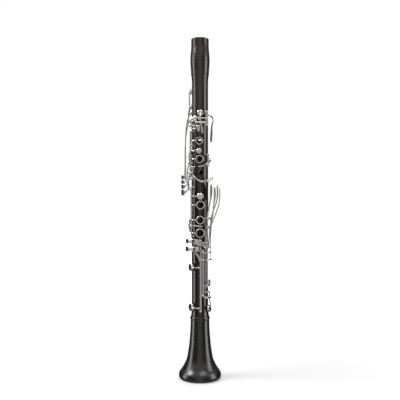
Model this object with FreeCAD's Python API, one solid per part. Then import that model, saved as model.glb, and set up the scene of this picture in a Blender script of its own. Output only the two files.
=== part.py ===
"""Clarinet without its mouthpiece, as separate pieces. Millimetres, +Z up the bore, front towards -Y."""
import FreeCAD
import Part
import math
import os

V = FreeCAD.Vector
UP = V(0, 0, 1)
ORIGIN = V(0, 0, 0)

# driving dimensions: heights along the bore
BELL_TOP = 108.0
LOWER_TOP = 341.8
UPPER_TOP = 527.5
BARREL_TOP = 590.4
JOINT_GAP = 0.1
# wood radii
BORE = 7.35
UPPER_WOOD = 14.1
LOWER_WOOD = 14.4
BARREL_SOCKET = 12.2
MIDDLE_SOCKET = 12.1
BELL_SOCKET = 13.6
TENON_GAP = 0.15
CORK_GAP = 0.05
# hinges
ROD_RADIUS = 0.95
TUBE_BORE = 1.07
TUBE_RADIUS = 1.6
POST_HOLE = 1.0
BALL_RADIUS = 2.1
BALL_HALF_WIDTH = 1.5
STEM_RADIUS = 1.35
FOOT_RADIUS = 2.3
END_PLAY = 0.12
SPRING_RADIUS = 0.28
SPRING_REACH = 2.4
POST_OFFSET = BALL_HALF_WIDTH + END_PLAY
# pads
SEAT_HEIGHT = 0.4
PAD_REST_GAP = 0.25
PAD_THICKNESS = 2.2
PAD_SHOWING = 0.9
CUP_WALL = 0.55
CUP_HEIGHT = 2.5

os.makedirs("parts", exist_ok=True)


# ---------------------------------------------------------------- geometry helpers
def outward(angle):
    turn = math.radians(angle)
    return V(math.sin(turn), -math.cos(turn), 0)


def sideways(angle):
    turn = math.radians(angle)
    return V(math.cos(turn), math.sin(turn), 0)


def polar(radius, angle, height):
    return outward(angle) * radius + V(0, 0, height)


def front(x, height, radius):
    """Point at sideways place x on a circle of this radius round the bore, on the front half."""
    return V(x, -math.sqrt(radius * radius - x * x), height)


def angle_of(point):
    return math.degrees(math.atan2(point.x, -point.y))


def reach_of(point):
    return math.hypot(point.x, point.y)


def flat_outward(point):
    return outward(angle_of(point))


def cylinder(radius, start, end):
    along = end - start
    return Part.makeCylinder(radius, along.Length, start, along)


def one_solid(pieces):
    whole = pieces[0]
    if len(pieces) > 1:
        whole = whole.multiFuse(pieces[1:])
    return whole.removeSplitter()


def carved(pieces, cutters):
    whole = one_solid(pieces)
    if cutters:
        whole = whole.cut(cutters)
    solids = sorted(whole.Solids, key=lambda solid: -solid.Volume)
    return solids[0]


def turned(points):
    """Solid of revolution about the bore from (radius, height) points joined by straight lines."""
    corners = [V(radius, 0, height) for radius, height in points]
    wire = Part.makePolygon(corners + [corners[0]])
    return Part.Face(wire).revolve(ORIGIN, UP, 360)


def smooth_edge(points):
    curve = Part.BSplineCurve()
    curve.interpolate([V(radius, 0, height) for radius, height in points])
    return curve.toShape()


def line_edge(first, second):
    return Part.makeLine(V(first[0], 0, first[1]), V(second[0], 0, second[1]))


def to_surface(shape, angle, height):
    """Move a shape built along +Z from the bore's middle so that +Z points outward at this angle."""
    side = sideways(angle)
    out = outward(angle)
    matrix = FreeCAD.Matrix(side.x, 0, out.x, 0, side.y, 0, out.y, 0, 0, 1, 0, height, 0, 0, 0, 1)
    return shape.transformed(matrix, True)


def section(centre, along, out, width, thickness):
    across = along.cross(out)
    across.normalize()
    lift = across.cross(along)
    lift.normalize()
    points = []
    for step in range(12):
        turn = math.radians(30 * step)
        bulge = 1.0 / (abs(math.cos(turn)) ** 3 + abs(math.sin(turn)) ** 3) ** (1.0 / 3.0)
        wide = across * (0.5 * width * bulge * math.cos(turn))
        deep = lift * (0.5 * thickness * bulge * math.sin(turn))
        points.append(centre + wide + deep)
    curve = Part.BSplineCurve()
    curve.interpolate(Points=points, PeriodicFlag=True)
    return Part.Wire([curve.toShape()])


def bar(stations, out=None, straight=False):
    """Rounded bar through stations of (point, width, thickness), smooth unless its runs are straight."""
    wires = []
    last = len(stations) - 1
    for index, (point, width, thickness) in enumerate(stations):
        before = stations[max(index - 1, 0)][0]
        after = stations[min(index + 1, last)][0]
        along = after - before
        facing = out if out is not None else flat_outward(point)
        wires.append(section(point, along, facing, width, thickness))
    return Part.makeLoft(wires, True, straight, False, 3)


def at(reach, angle, height, width=2.3, thickness=1.8):
    """Station of a bar, placed by its distance and angle from the bore's axis."""
    return polar(reach, angle, height), width, thickness


def turn_about(shape, point, axis, degrees):
    moved = shape.copy()
    moved.rotate(point, axis, degrees)
    return moved


# ---------------------------------------------------------------- posts, rods and wood cutters
class Joint:
    """What one joint of the instrument collects while its keys are built."""

    def __init__(self, wood_radius):
        self.wood_radius = wood_radius
        self.posts = []
        self.rods = []
        self.springs = []
        self.spring_holes = []
        self.cutters = []
        self.seats = []


def add_post(joint, point, hinge, depth=4.0, facing=None):
    """Ball-topped post: its stem runs straight in from the hinge point into a hole in the wood."""
    out = flat_outward(point) if facing is None else outward(facing)
    base = point - out * point.dot(out)
    offset = reach_of(base)
    rise = math.sqrt(joint.wood_radius ** 2 - max(offset - FOOT_RADIUS, 0) ** 2) + 0.45
    sink = math.sqrt(joint.wood_radius ** 2 - (offset + FOOT_RADIUS) ** 2) - 0.1
    stem_end = base + out * (joint.wood_radius - depth)
    ball = Part.makeSphere(BALL_RADIUS, point)
    slab = cylinder(BALL_RADIUS + 1, point - hinge * BALL_HALF_WIDTH, point + hinge * BALL_HALF_WIDTH)
    pieces = [ball.common(slab), cylinder(STEM_RADIUS, point, stem_end)]
    pieces.append(cylinder(FOOT_RADIUS, base + out * rise, base + out * sink))
    hole = cylinder(POST_HOLE, point - hinge * 4, point + hinge * 4)
    joint.posts.append(carved(pieces, [hole]))
    clear_of_wood = base + out * (joint.wood_radius + 2)
    joint.cutters.append(cylinder(STEM_RADIUS + 0.05, clear_of_wood, stem_end - out * 0.05))
    joint.cutters.append(cylinder(FOOT_RADIUS + 0.05, clear_of_wood, base + out * (sink - 0.05)))


def add_rod(joint, start, end):
    """Steel hinge rod with a slotted head at its upper end."""
    hinge = end - start
    hinge.normalize()
    rod = cylinder(ROD_RADIUS, start - hinge * BALL_HALF_WIDTH, end + hinge * BALL_HALF_WIDTH)
    slot = Part.makeBox(0.35, 4, 0.4, V(-0.175, -2, -0.4))
    turn = FreeCAD.Rotation(UP, hinge)
    slot.Placement = FreeCAD.Placement(end + hinge * BALL_HALF_WIDTH, turn)
    joint.rods.append(rod.cut(slot))


def hinge_line(joint, point, hinge, low, high, depth=4.0, facing=None):
    """Posts and rod for a key tube that runs from low to high along the hinge through the point."""
    start = point + hinge * (low - POST_OFFSET)
    end = point + hinge * (high + POST_OFFSET)
    add_post(joint, start, hinge, depth, facing)
    add_post(joint, end, hinge, depth, facing)
    add_rod(joint, start, end)


def key_tube(point, hinge, low, high):
    return cylinder(TUBE_RADIUS, point + hinge * low, point + hinge * high)


def tube_cutter(point, hinge, low, high):
    return cylinder(TUBE_BORE, point + hinge * (low - 1), point + hinge * (high + 1))


def add_spring(joint, point, height, length):
    """Needle spring beside a lengthwise hinge, on the side nearest the wood."""
    inward = flat_outward(point) * -1.0
    start = V(point.x, point.y, height) + inward * SPRING_REACH
    joint.springs.append(cylinder(SPRING_RADIUS, start, start + V(0, 0, length)))
    back = math.copysign(0.05, length)
    joint.spring_holes.append(cylinder(SPRING_RADIUS + 0.05, start - V(0, 0, back), start + V(0, 0, length)))


# ---------------------------------------------------------------- pads, cups, rings and holes
def add_seat(joint, angle, height, hole):
    """Flat rim for a pad, standing a little above the wood, with its tone hole."""
    rim = Part.makeCylinder(hole + 1.1, joint.wood_radius + SEAT_HEIGHT - 9.5, V(0, 0, 9.5))
    joint.seats.append(to_surface(rim, angle, height))
    add_hole(joint, angle, height, hole)


def add_hole(joint, angle, height, hole):
    drill = Part.makeCylinder(hole, 22, V(0, 0, 3))
    joint.cutters.append(to_surface(drill, angle, height))


def pad_face(joint):
    return joint.wood_radius + SEAT_HEIGHT + PAD_REST_GAP


def make_pad(joint, angle, height, radius):
    """Felt and skin pad: a low cylinder with a softened edge."""
    base = pad_face(joint)
    top = base + PAD_THICKNESS
    profile = [(0, base), (radius - 0.4, base), (radius, base + 0.4), (radius, top), (0, top)]
    return to_surface(turned(profile), angle, height)


def make_cup(joint, angle, height, radius):
    """Domed key cup, with the recess that holds its pad kept apart as a cutter."""
    outer = radius + CUP_WALL
    base = pad_face(joint) + PAD_SHOWING
    wall_top = base + 1.3
    top = base + CUP_HEIGHT
    shoulder = Part.Arc(V(outer, 0, wall_top), V(outer * 0.8, 0, top - 0.35), V(outer * 0.45, 0, top))
    edges = [line_edge((0, base), (outer - 0.15, base))]
    edges.append(line_edge((outer - 0.15, base), (outer, base + 0.15)))
    edges.append(line_edge((outer, base + 0.15), (outer, wall_top)))
    edges.append(shoulder.toShape())
    edges.append(line_edge((outer * 0.45, top), (0, top)))
    edges.append(line_edge((0, top), (0, base)))
    dome = Part.Face(Part.Wire(edges)).revolve(ORIGIN, UP, 360)
    recess = Part.makeCylinder(radius + 0.04, PAD_THICKNESS - PAD_SHOWING + 1, V(0, 0, base - 1))
    return to_surface(dome, angle, height), to_surface(recess, angle, height)


def cup_top(joint):
    return pad_face(joint) + PAD_SHOWING + CUP_HEIGHT


def finger_ring(angle, height, inner, outer, low, high):
    """Ring with rounded edges round a raised finger hole; the hole is returned as a cutter."""
    ease = 0.3
    profile = [(inner - 0.5, low), (outer - ease, low), (outer, low + ease), (outer, high - ease)]
    profile += [(outer - ease, high), (inner - 0.5, high)]
    hoop = turned(profile)
    opening = Part.makeCylinder(inner, high - low + 6, V(0, 0, low - 3))
    return to_surface(hoop, angle, height), to_surface(opening, angle, height)


def add_chimney(joint, angle, height, hole, outer, top):
    """Raised finger hole turned and drilled in the wood."""
    rim = [(0, 9.5), (outer, 9.5), (outer, top - 0.35), (outer - 0.35, top), (0, top)]
    joint.seats.append(to_surface(turned(rim), angle, height))
    dish = [(0, top - 0.5), (hole, top - 0.5), (hole + 0.5, top), (0, top + 0.1)]
    joint.cutters.append(to_surface(turned(dish), angle, height))
    add_hole(joint, angle, height, hole)


def export(name, shape):
    if isinstance(shape, list):
        shape = Part.makeCompound(shape)
    shape.exportStep("parts/" + name + ".step")


# ---------------------------------------------------------------- wood
def make_barrel():
    outer = [(15.4, 527.6), (15.7, 528.0), (15.7, 533.5), (16.2, 540.0), (16.7, 547.0), (16.85, 552.6)]
    outer += [(16.75, 558.0), (16.4, 564.0), (15.85, 570.0), (15.45, 575.0), (15.3, 580.0), (15.3, 589.9)]
    shape = turned(outer + [(14.8, 590.4), (0, 590.4), (0, 527.6)])
    lower = Part.makeCylinder(BARREL_SOCKET, 17.0, V(0, 0, 527.6))
    upper = Part.makeCylinder(BARREL_SOCKET, 17.0, V(0, 0, 573.4))
    bore = Part.makeCylinder(BORE, 80, V(0, 0, 520))
    lower_ease = Part.makeCone(BARREL_SOCKET + 0.8, BARREL_SOCKET, 0.8, V(0, 0, 527.6))
    upper_ease = Part.makeCone(BARREL_SOCKET, BARREL_SOCKET + 0.8, 0.8, V(0, 0, 589.6))
    return shape.cut([lower, upper, bore, lower_ease, upper_ease])


def tenon(radius, shoulder, end, cork_low, cork_high):
    """Profile points of a tenon with its cork groove, listed from shoulder to end."""
    groove = radius - 1.1
    return [(radius, shoulder), (radius, cork_low), (groove, cork_low), (groove, cork_high),
            (radius, cork_high), (radius, end), (0, end)]


def cork_ring(socket_radius, tenon_radius, low, high):
    inner = tenon_radius - 1.1
    outer = socket_radius - CORK_GAP
    ease = 0.25
    points = [(inner, low), (outer - ease, low), (outer, low + ease)]
    points += [(outer, high - ease), (outer - ease, high), (inner, high)]
    return turned(points)


UPPER_TENON = BARREL_SOCKET - TENON_GAP
MIDDLE_TENON = MIDDLE_SOCKET - TENON_GAP
BELL_TENON = BELL_SOCKET - TENON_GAP


def make_upper_wood(joint):
    low = LOWER_TOP + JOINT_GAP
    top = UPPER_TOP
    side = [(14.0, low), (14.3, low + 0.3), (14.3, low + 2.5), (UPPER_WOOD, low + 4.5), (UPPER_WOOD, 512.0)]
    side += [(14.4, 520.0), (14.85, 524.5), (15.5, 527.1), (15.2, 527.5)]
    upper = tenon(UPPER_TENON, top, top + 16, top + 3, top + 13)
    lower = tenon(MIDDLE_TENON, low, low - 18, low - 3, low - 14)
    lower.reverse()
    blank = turned(lower + side + upper)
    wood = blank.multiFuse(joint.seats)
    bore = Part.makeCylinder(BORE, 260, V(0, 0, 300))
    return wood.cut([bore] + joint.cutters).removeSplitter().Solids[0]


def make_lower_wood(joint):
    low = BELL_TOP + JOINT_GAP
    top = LOWER_TOP
    side = [(15.4, low), (15.7, low + 0.3), (15.6, 110.0), (15.0, 113.0), (14.6, 117.0), (LOWER_WOOD, 121.0)]
    side += [(LOWER_WOOD, 333.0), (14.7, 337.5), (14.9, 341.0), (14.7, top)]
    lower = tenon(BELL_TENON, low, low - 17, low - 3, low - 14)
    lower.reverse()
    blank = turned(lower + side + [(0, top)])
    wood = blank.multiFuse(joint.seats)
    socket = Part.makeCylinder(MIDDLE_SOCKET, 19.0, V(0, 0, top - 19.0))
    ease = Part.makeCone(MIDDLE_SOCKET, MIDDLE_SOCKET + 0.7, 0.7, V(0, 0, top - 0.7))
    bore = Part.makeCylinder(BORE, 300, V(0, 0, 80))
    flare = Part.makeCone(10.9, BORE, 42, V(0, 0, 90))
    return wood.cut([bore, socket, ease, flare] + joint.cutters).removeSplitter().Solids[0]


def make_bell():
    outside = [(33.0, 0.0), (35.7, 1.6), (36.8, 5.2), (36.3, 9.6), (34.3, 13.6), (30.65, 18.5), (27.65, 23.7)]
    outside += [(24.95, 29.0), (23.05, 34.2), (20.95, 44.7), (19.35, 55.0), (18.25, 65.6), (17.4, 76.0)]
    outside += [(16.8, 86.6), (16.5, 97.0), (16.5, 101.6)]
    inside = [(11.0, 90.0), (11.7, 76.0), (13.0, 57.0), (15.0, 41.0), (17.8, 29.0)]
    inside += [(21.6, 19.0), (26.0, 10.5), (29.6, 3.6), (31.0, 0.0)]
    bead = Part.Arc(V(16.5, 0, 101.6), V(17.25, 0, 104.4), V(16.5, 0, 107.2))
    edges = [smooth_edge(outside), bead.toShape(), line_edge((16.5, 107.2), (16.1, BELL_TOP))]
    edges.append(line_edge((16.1, BELL_TOP), (BELL_SOCKET + 0.6, BELL_TOP)))
    edges.append(line_edge((BELL_SOCKET + 0.6, BELL_TOP), (BELL_SOCKET, BELL_TOP - 0.6)))
    edges.append(line_edge((BELL_SOCKET, BELL_TOP - 0.6), (BELL_SOCKET, 90.0)))
    edges.append(line_edge((BELL_SOCKET, 90.0), (11.0, 90.0)))
    edges.append(smooth_edge(inside))
    edges.append(line_edge((31.0, 0.0), (33.0, 0.0)))
    wire = Part.Wire(Part.__sortEdges__(edges))
    return Part.Face(wire).revolve(ORIGIN, UP, 360).Solids[0]


# ---------------------------------------------------------------- upper joint keys
A_HINGE = front(0.6, 443.0, 19.6)
ACROSS = V(1, 0, 0)
G_SHARP_ANGLE = -50.0
UPPER_RING_HINGE = V(-16.4, -9.4, 0)
CSHARP_HINGE = V(-13.0, -12.9, 0)
REGISTER_HINGE = V(12.0, -14.0, 0)
THUMB_HINGE = polar(18.4, 140.0, 0)
SLIVER_HINGE = polar(18.0, 50.0, 0)
DOWN = V(0, 0, -1)


def make_a_key(joint):
    low, high = -5.2, 5.2
    hinge_line(joint, A_HINGE, ACROSS, low, high, facing=0.0)
    angle = angle_of(V(0.4, -18, 0))
    add_seat(joint, angle, 460.0, 3.2)
    cup, recess = make_cup(joint, angle, 460.0, 4.7)
    arm = bar([(front(0.4, 461.5, 18.2), 3.2, 1.2), (front(0.4, 456.0, 19.4), 2.6, 1.8),
               (front(0.4, 450.0, 20.8), 2.2, 1.7), (A_HINGE, 2.6, 2.2)])
    leg = bar([(A_HINGE, 2.6, 2.2), (front(1.6, 440.0, 20.6), 2.4, 1.7), (front(2.8, 436.5, 20.8), 3.4, 1.6),
               (front(3.7, 430.0, 20.6), 4.2, 1.5), (front(4.2, 425.5, 20.0), 3.2, 1.5),
               (front(4.3, 423.6, 19.6), 1.2, 0.9)])
    key = carved([key_tube(A_HINGE, ACROSS, low, high), arm, leg, cup],
                 [tube_cutter(A_HINGE, ACROSS, low, high), recess])
    return key, [make_pad(joint, angle, 460.0, 4.7)]


def make_g_sharp_key(joint):
    hinge = sideways(G_SHARP_ANGLE)
    centre = polar(18.2, G_SHARP_ANGLE, 437.8)
    low, high = -3.9, 3.9
    hinge_line(joint, centre, hinge, low, high, facing=G_SHARP_ANGLE)
    angle = angle_of(V(-9.6, -15.2, 0))
    add_seat(joint, angle, 450.4, 3.0)
    cup, recess = make_cup(joint, angle, 450.4, 4.4)
    arm = bar([at(18.0, -31.0, 450.4, 3.0, 1.4), at(19.0, -41.0, 450.6, 2.6, 1.7),
               at(19.6, -50.0, 448.6, 2.4, 1.7), at(19.4, -54.5, 444.0, 2.4, 1.8),
               at(18.3, -55.0, 438.0, 2.6, 2.0)])
    leg = bar([at(18.4, -55.0, 437.2, 2.2, 2.0), at(19.5, -51.0, 433.6, 2.0, 1.7),
               at(20.0, -38.0, 432.6, 1.9, 1.6), at(20.3, -20.0, 432.6, 2.4, 1.5),
               at(20.2, -14.0, 432.6, 4.0, 1.4)])
    touch = bar([(front(-2.6, 426.6, 20.0), 1.0, 0.9), (front(-2.8, 429.0, 20.4), 4.2, 1.4),
                 (front(-2.9, 432.6, 20.6), 5.8, 1.5), (front(-2.9, 436.2, 20.5), 5.0, 1.4),
                 (front(-2.9, 438.4, 20.1), 1.6, 0.9)])
    key = carved([key_tube(centre, hinge, low, high), arm, leg, touch, cup],
                 [tube_cutter(centre, hinge, low, high), recess])
    return key, [make_pad(joint, angle, 450.4, 4.4)]


def make_register_key(joint):
    low, high = 441.0, 460.4
    hinge_line(joint, REGISTER_HINGE, UP, low, high)
    add_seat(joint, -2.0, 450.4, 1.6)
    cup, recess = make_cup(joint, -2.0, 450.4, 2.6)
    vent_arm = bar([at(17.9, -3.0, 450.4, 2.2, 1.1), at(18.5, 9.0, 450.4, 2.2, 1.4),
                    at(18.9, 22.0, 450.6, 2.3, 1.6), (REGISTER_HINGE + V(0, 0, 451.0), 3.0, 2.0)])
    side_arm = bar([(REGISTER_HINGE + V(0, 0, 456.5), 2.6, 2.0), at(20.4, 50.0, 456.0, 2.6, 1.8),
                    at(21.6, 68.0, 454.0, 2.8, 1.7), at(22.6, 88.0, 450.0, 3.2, 1.6),
                    at(23.0, 105.0, 445.5, 3.8, 1.6), at(23.0, 115.0, 439.0, 4.4, 1.6)])
    touch = bar([at(22.9, 112.0, 444.0, 2.6, 1.4), at(23.1, 115.0, 439.0, 4.6, 1.7),
                 at(22.8, 117.0, 430.0, 5.8, 1.6), at(22.4, 118.0, 421.0, 6.4, 1.6),
                 at(22.2, 118.0, 414.5, 5.4, 1.6), at(22.3, 118.0, 411.4, 2.4, 1.2)])
    key = carved([key_tube(REGISTER_HINGE, UP, low, high), vent_arm, side_arm, touch, cup],
                 [tube_cutter(REGISTER_HINGE, UP, low, high), recess])
    return key, [make_pad(joint, -2.0, 450.4, 2.6)]


def make_thumb_ring_key(joint):
    low, high = 404.0, 447.0
    hinge_line(joint, THUMB_HINGE, UP, low, high)
    add_hole(joint, 180.0, 418.0, 4.0)
    add_seat(joint, 196.0, 437.5, 3.0)
    ring, opening = finger_ring(180.0, 418.0, 6.0, 7.6, 16.1, 17.4)
    cup, recess = make_cup(joint, 196.0, 437.5, 4.3)
    ring_arm = bar([at(16.8, 158.0, 418.0, 3.6, 1.2), at(17.8, 150.0, 418.0, 3.4, 1.8),
                    (THUMB_HINGE + V(0, 0, 418.0), 3.8, 2.2)])
    pad_arm = bar([at(18.0, 195.0, 437.5, 2.6, 1.2), at(19.0, 180.0, 437.5, 2.6, 1.8),
                   at(19.6, 160.0, 437.5, 2.6, 1.8), (THUMB_HINGE + V(0, 0, 437.5), 3.4, 2.2)])
    key = carved([key_tube(THUMB_HINGE, UP, low, high), ring, ring_arm, pad_arm, cup],
                 [tube_cutter(THUMB_HINGE, UP, low, high), recess, opening])
    return key, [make_pad(joint, 196.0, 437.5, 4.3)]


def ring_with_arm(x, height, hinge, inner, outer, low, high):
    """Finger ring with the pointed arm that runs to its hinge tube on the left."""
    angle = angle_of(V(x, -17, 0))
    ring, opening = finger_ring(angle, height, inner, outer, low, high)
    middle = 0.5 * (low + high)
    start = x - outer + 0.5
    elbow = front(0.45 * start + 0.55 * hinge.x, height, reach_of(hinge) + 0.1)
    arm = bar([(V(x - inner + 0.2, -middle, height), 4.6, high - low - 0.1),
               (V(start - 1.6, -middle - 0.1, height), 2.8, 1.4), (elbow, 2.2, 1.7),
               (hinge + V(0, 0, height), 3.0, 2.2)], V(0, -1, 0))
    return ring, opening, arm


def pad_with_arm(joint, x, height, hinge, radius, hole):
    angle = angle_of(V(x, -17, 0))
    add_seat(joint, angle, height, hole)
    cup, recess = make_cup(joint, angle, height, radius)
    top = cup_top(joint)
    elbow = front(0.4 * x + 0.6 * hinge.x, height, reach_of(hinge) + 0.4)
    arm = bar([(front(x + 0.8, height, top - 0.3), 2.4, 1.2),
               (front(x - radius, height, top + 0.2), 2.8, 1.5), (elbow, 2.3, 1.8),
               (hinge + V(0, 0, height), 3.2, 2.2)], V(-0.3, -1, 0))
    return cup, recess, arm, make_pad(joint, angle, height, radius)


def make_index_ring_key(joint):
    low, high = 405.6, 426.6
    hinge = UPPER_RING_HINGE
    hinge_line(joint, hinge, UP, low, high)
    add_chimney(joint, angle_of(V(-0.8, -17, 0)), 411.9, 3.6, 4.3, 16.9)
    ring, opening, arm = ring_with_arm(-0.55, 411.9, hinge, 5.2, 6.6, 15.7, 17.0)
    tube = key_tube(hinge, UP, low, high)
    return carved([tube, ring, arm], [tube_cutter(hinge, UP, low, high), opening]), []


def make_middle_ring_key(joint):
    low, high = 347.4, 402.2
    hinge = UPPER_RING_HINGE
    hinge_line(joint, hinge, UP, low, high)
    cup, recess, pad_arm, pad = pad_with_arm(joint, -1.1, 394.3, hinge, 4.1, 2.8)
    add_chimney(joint, angle_of(V(-0.3, -17, 0)), 380.2, 4.0, 4.7, 16.9)
    ring, opening, ring_arm = ring_with_arm(0.0, 380.2, hinge, 5.6, 7.0, 15.7, 17.0)
    bridge = bar([(hinge + V(0, 0, 350.5), 3.4, 2.2), (V(-19.2, -12.4, 349.4), 2.8, 1.9),
                  (V(-20.2, -14.6, 345.0), 2.6, 1.5), (V(-20.2, -14.9, 339.0), 3.0, 1.3),
                  (V(-20.2, -14.8, 335.6), 2.2, 1.0)], V(-0.2, -1, 0))
    pieces = [key_tube(hinge, UP, low, high), ring, ring_arm, cup, pad_arm, bridge]
    return carved(pieces, [tube_cutter(hinge, UP, low, high), recess, opening]), [pad]


def make_c_sharp_key(joint):
    low, high = 348.6, 364.6
    hinge = CSHARP_HINGE
    hinge_line(joint, hinge, UP, low, high, 2.6)
    add_seat(joint, -87.0, 356.6, 2.8)
    cup, recess = make_cup(joint, -87.0, 356.6, 4.3)
    pad_arm = bar([(hinge + V(0, 0, 356.6), 3.2, 2.2), at(21.4, -51.0, 356.6, 2.6, 1.7),
                   at(22.0, -60.0, 356.6, 2.5, 1.6), at(21.0, -72.0, 356.6, 2.5, 1.5),
                   at(18.4, -84.0, 356.6, 3.0, 1.3)])
    touch = bar([(hinge + V(0, 0, 350.4), 3.0, 2.2), (front(-9.5, 349.6, 20.6), 2.2, 1.9),
                 (front(-5.6, 345.8, 20.8), 2.2, 1.8), (front(-0.9, 342.6, 20.6), 2.3, 1.7),
                 (front(4.0, 341.4, 20.6), 2.8, 1.6), (front(9.6, 342.2, 21.4), 3.8, 1.6),
                 (V(15.0, -16.4, 344.0), 4.8, 1.6), (V(19.6, -13.8, 346.6), 5.2, 1.5),
                 (V(22.0, -12.4, 348.4), 2.6, 1.1)])
    key = carved([key_tube(hinge, UP, low, high), pad_arm, touch, cup],
                 [tube_cutter(hinge, UP, low, high), recess])
    return key, [make_pad(joint, -87.0, 356.6, 4.3)]


def make_e_flat_sliver_key(joint):
    low, high = 370.8, 386.4
    hinge = SLIVER_HINGE
    hinge_line(joint, hinge, UP, low, high)
    add_seat(joint, 92.0, 378.6, 2.6)
    cup, recess = make_cup(joint, 92.0, 378.6, 4.0)
    pad_arm = bar([(hinge + V(0, 0, 378.6), 3.2, 2.2), at(19.4, 68.0, 378.6, 2.5, 1.7),
                   at(18.2, 88.0, 378.6, 2.8, 1.3)])
    lever = bar([(hinge + V(0, 0, 375.0), 3.0, 2.2), (front(10.6, 372.0, 19.2), 2.0, 1.8),
                 (front(6.5, 368.9, 18.6), 1.8, 1.6), (front(2.0, 367.8, 18.2), 1.8, 1.5),
                 (front(-1.6, 367.6, 17.9), 2.0, 1.5), (front(-3.0, 367.6, 17.8), 1.2, 1.0)])
    key = carved([key_tube(hinge, UP, low, high), pad_arm, lever, cup],
                 [tube_cutter(hinge, UP, low, high), recess])
    return key, [make_pad(joint, 92.0, 378.6, 4.0)]


# ---------------------------------------------------------------- side keys
TOUCH_FACING = V(-0.72, -0.69, 0)
TOUCH_PLACE = V(-29.6, 0.3, 0)


def side_touch(height, tall, neck):
    """Side key touch plate at this height with the neck that joins it to its lever."""
    half = 0.5 * tall
    near_end = 0.8 * half - 0.25
    rows = [(-half, 5.6, 1.0), (-near_end, 8.2, 1.6), (0, 9.0, 1.7), (near_end, 8.2, 1.6), (half, 5.6, 1.0)]
    stations = [(TOUCH_PLACE + V(0, 0, height + rise), wide, deep) for rise, wide, deep in rows]
    plate = bar(stations, TOUCH_FACING)
    ends = neck + [(TOUCH_PLACE + V(0.5, 0.5, height), 3.4, 1.3)]
    return [plate, bar(ends)]


def make_side_key(joint, hinge_angle, hinge_reach, hinge_height, pad_place, upper, lower, touch):
    hinge = sideways(hinge_angle)
    centre = polar(hinge_reach, hinge_angle, hinge_height)
    low, high = -2.4, 2.4
    hinge_line(joint, centre, hinge, low, high, facing=hinge_angle)
    pad_angle, pad_height, pad_radius = pad_place
    add_seat(joint, pad_angle, pad_height, pad_radius - 1.5)
    cup, recess = make_cup(joint, pad_angle, pad_height, pad_radius)
    cup_end = at(cup_top(joint) - 0.2, pad_angle, pad_height, 2.6, 1.3)
    upper_arm = bar([(centre, 2.6, 2.4)] + upper + [cup_end])
    lower_arm = bar([(centre, 2.6, 2.4)] + lower, straight=True)
    pieces = [key_tube(centre, hinge, low, high), upper_arm, lower_arm, cup] + touch
    key = carved(pieces, [tube_cutter(centre, hinge, low, high), recess])
    return key, [make_pad(joint, pad_angle, pad_height, pad_radius)]


def make_side_keys(joint):
    first = make_side_key(
        joint, -87.0, 19.4, 447.0, (-83.0, 472.3, 4.6),
        [at(19.8, -85.0, 455.0), at(19.4, -83.5, 465.0)],
        [at(21.6, -88.5, 438.0), at(24.6, -89.0, 420.0), at(26.0, -90.0, 400.0),
         at(26.0, -90.0, 372.0), at(26.6, -90.0, 354.6)],
        side_touch(349.6, 7.0, [at(26.45, -90.0, 358.6, 1.5, 1.1), at(27.4, -90.3, 352.6, 2.6, 1.5)]))
    second = make_side_key(
        joint, -109.0, 19.4, 461.0, (-90.0, 498.5, 4.8),
        [at(19.6, -110.0, 468.0), at(19.6, -111.0, 480.0), at(19.4, -103.0, 491.0)],
        [at(22.6, -105.5, 451.0), at(24.6, -103.0, 438.0), at(26.0, -101.5, 415.0),
         at(26.0, -101.5, 385.0), at(26.0, -101.5, 362.0), at(26.2, -101.0, 344.5)],
        side_touch(341.4, 6.8, [at(26.15, -101.1, 348.0, 1.5, 1.1), at(27.6, -98.5, 342.4, 2.6, 1.7)]))
    third = make_side_key(
        joint, -106.0, 18.2, 374.0, (-92.0, 393.0, 4.8),
        [at(19.4, -105.0, 380.0), at(19.8, -101.0, 387.0)],
        [at(20.6, -107.0, 370.4), at(23.2, -109.0, 364.0), at(24.4, -110.5, 352.0),
         at(24.6, -111.0, 336.5)],
        side_touch(333.2, 7.2, [at(24.55, -111.0, 340.0, 1.5, 1.1), at(26.6, -105.0, 334.2, 2.6, 1.8)]))
    fourth = make_side_key(
        joint, -127.0, 18.2, 364.0, (-132.0, 385.0, 4.6),
        [at(19.2, -130.0, 370.0), at(19.4, -131.5, 379.0)],
        [at(20.8, -126.5, 359.6), at(23.6, -124.5, 352.0), at(24.4, -121.5, 340.0),
         at(24.6, -121.0, 326.6)],
        side_touch(323.2, 10.4, [at(24.55, -121.0, 330.2, 1.5, 1.1), at(26.8, -110.0, 324.2, 2.6, 1.8)]))
    return [first, second, third, fourth]


# ---------------------------------------------------------------- lower joint keys
LOWER_RING_HINGE = V(-14.7, -12.8, 0)
F_SHARP_HINGE = V(-18.1, -5.9, 0)
CENTRE_HINGE = front(1.2, 0, 18.8)
SECOND_HINGE = front(5.4, 0, 19.0)
OUTER_HINGE = front(12.4, 0, 19.3)
PAD_LEVER_ANGLE = 58.0


# across, height, inner and outer radius of each ring, and radius of its hole
LOWER_RINGS = [(1.3, 301.3, 5.9, 7.3, 4.2), (1.1, 275.4, 5.8, 7.2, 4.1), (0.8, 253.0, 6.6, 8.1, 4.9)]


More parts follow.
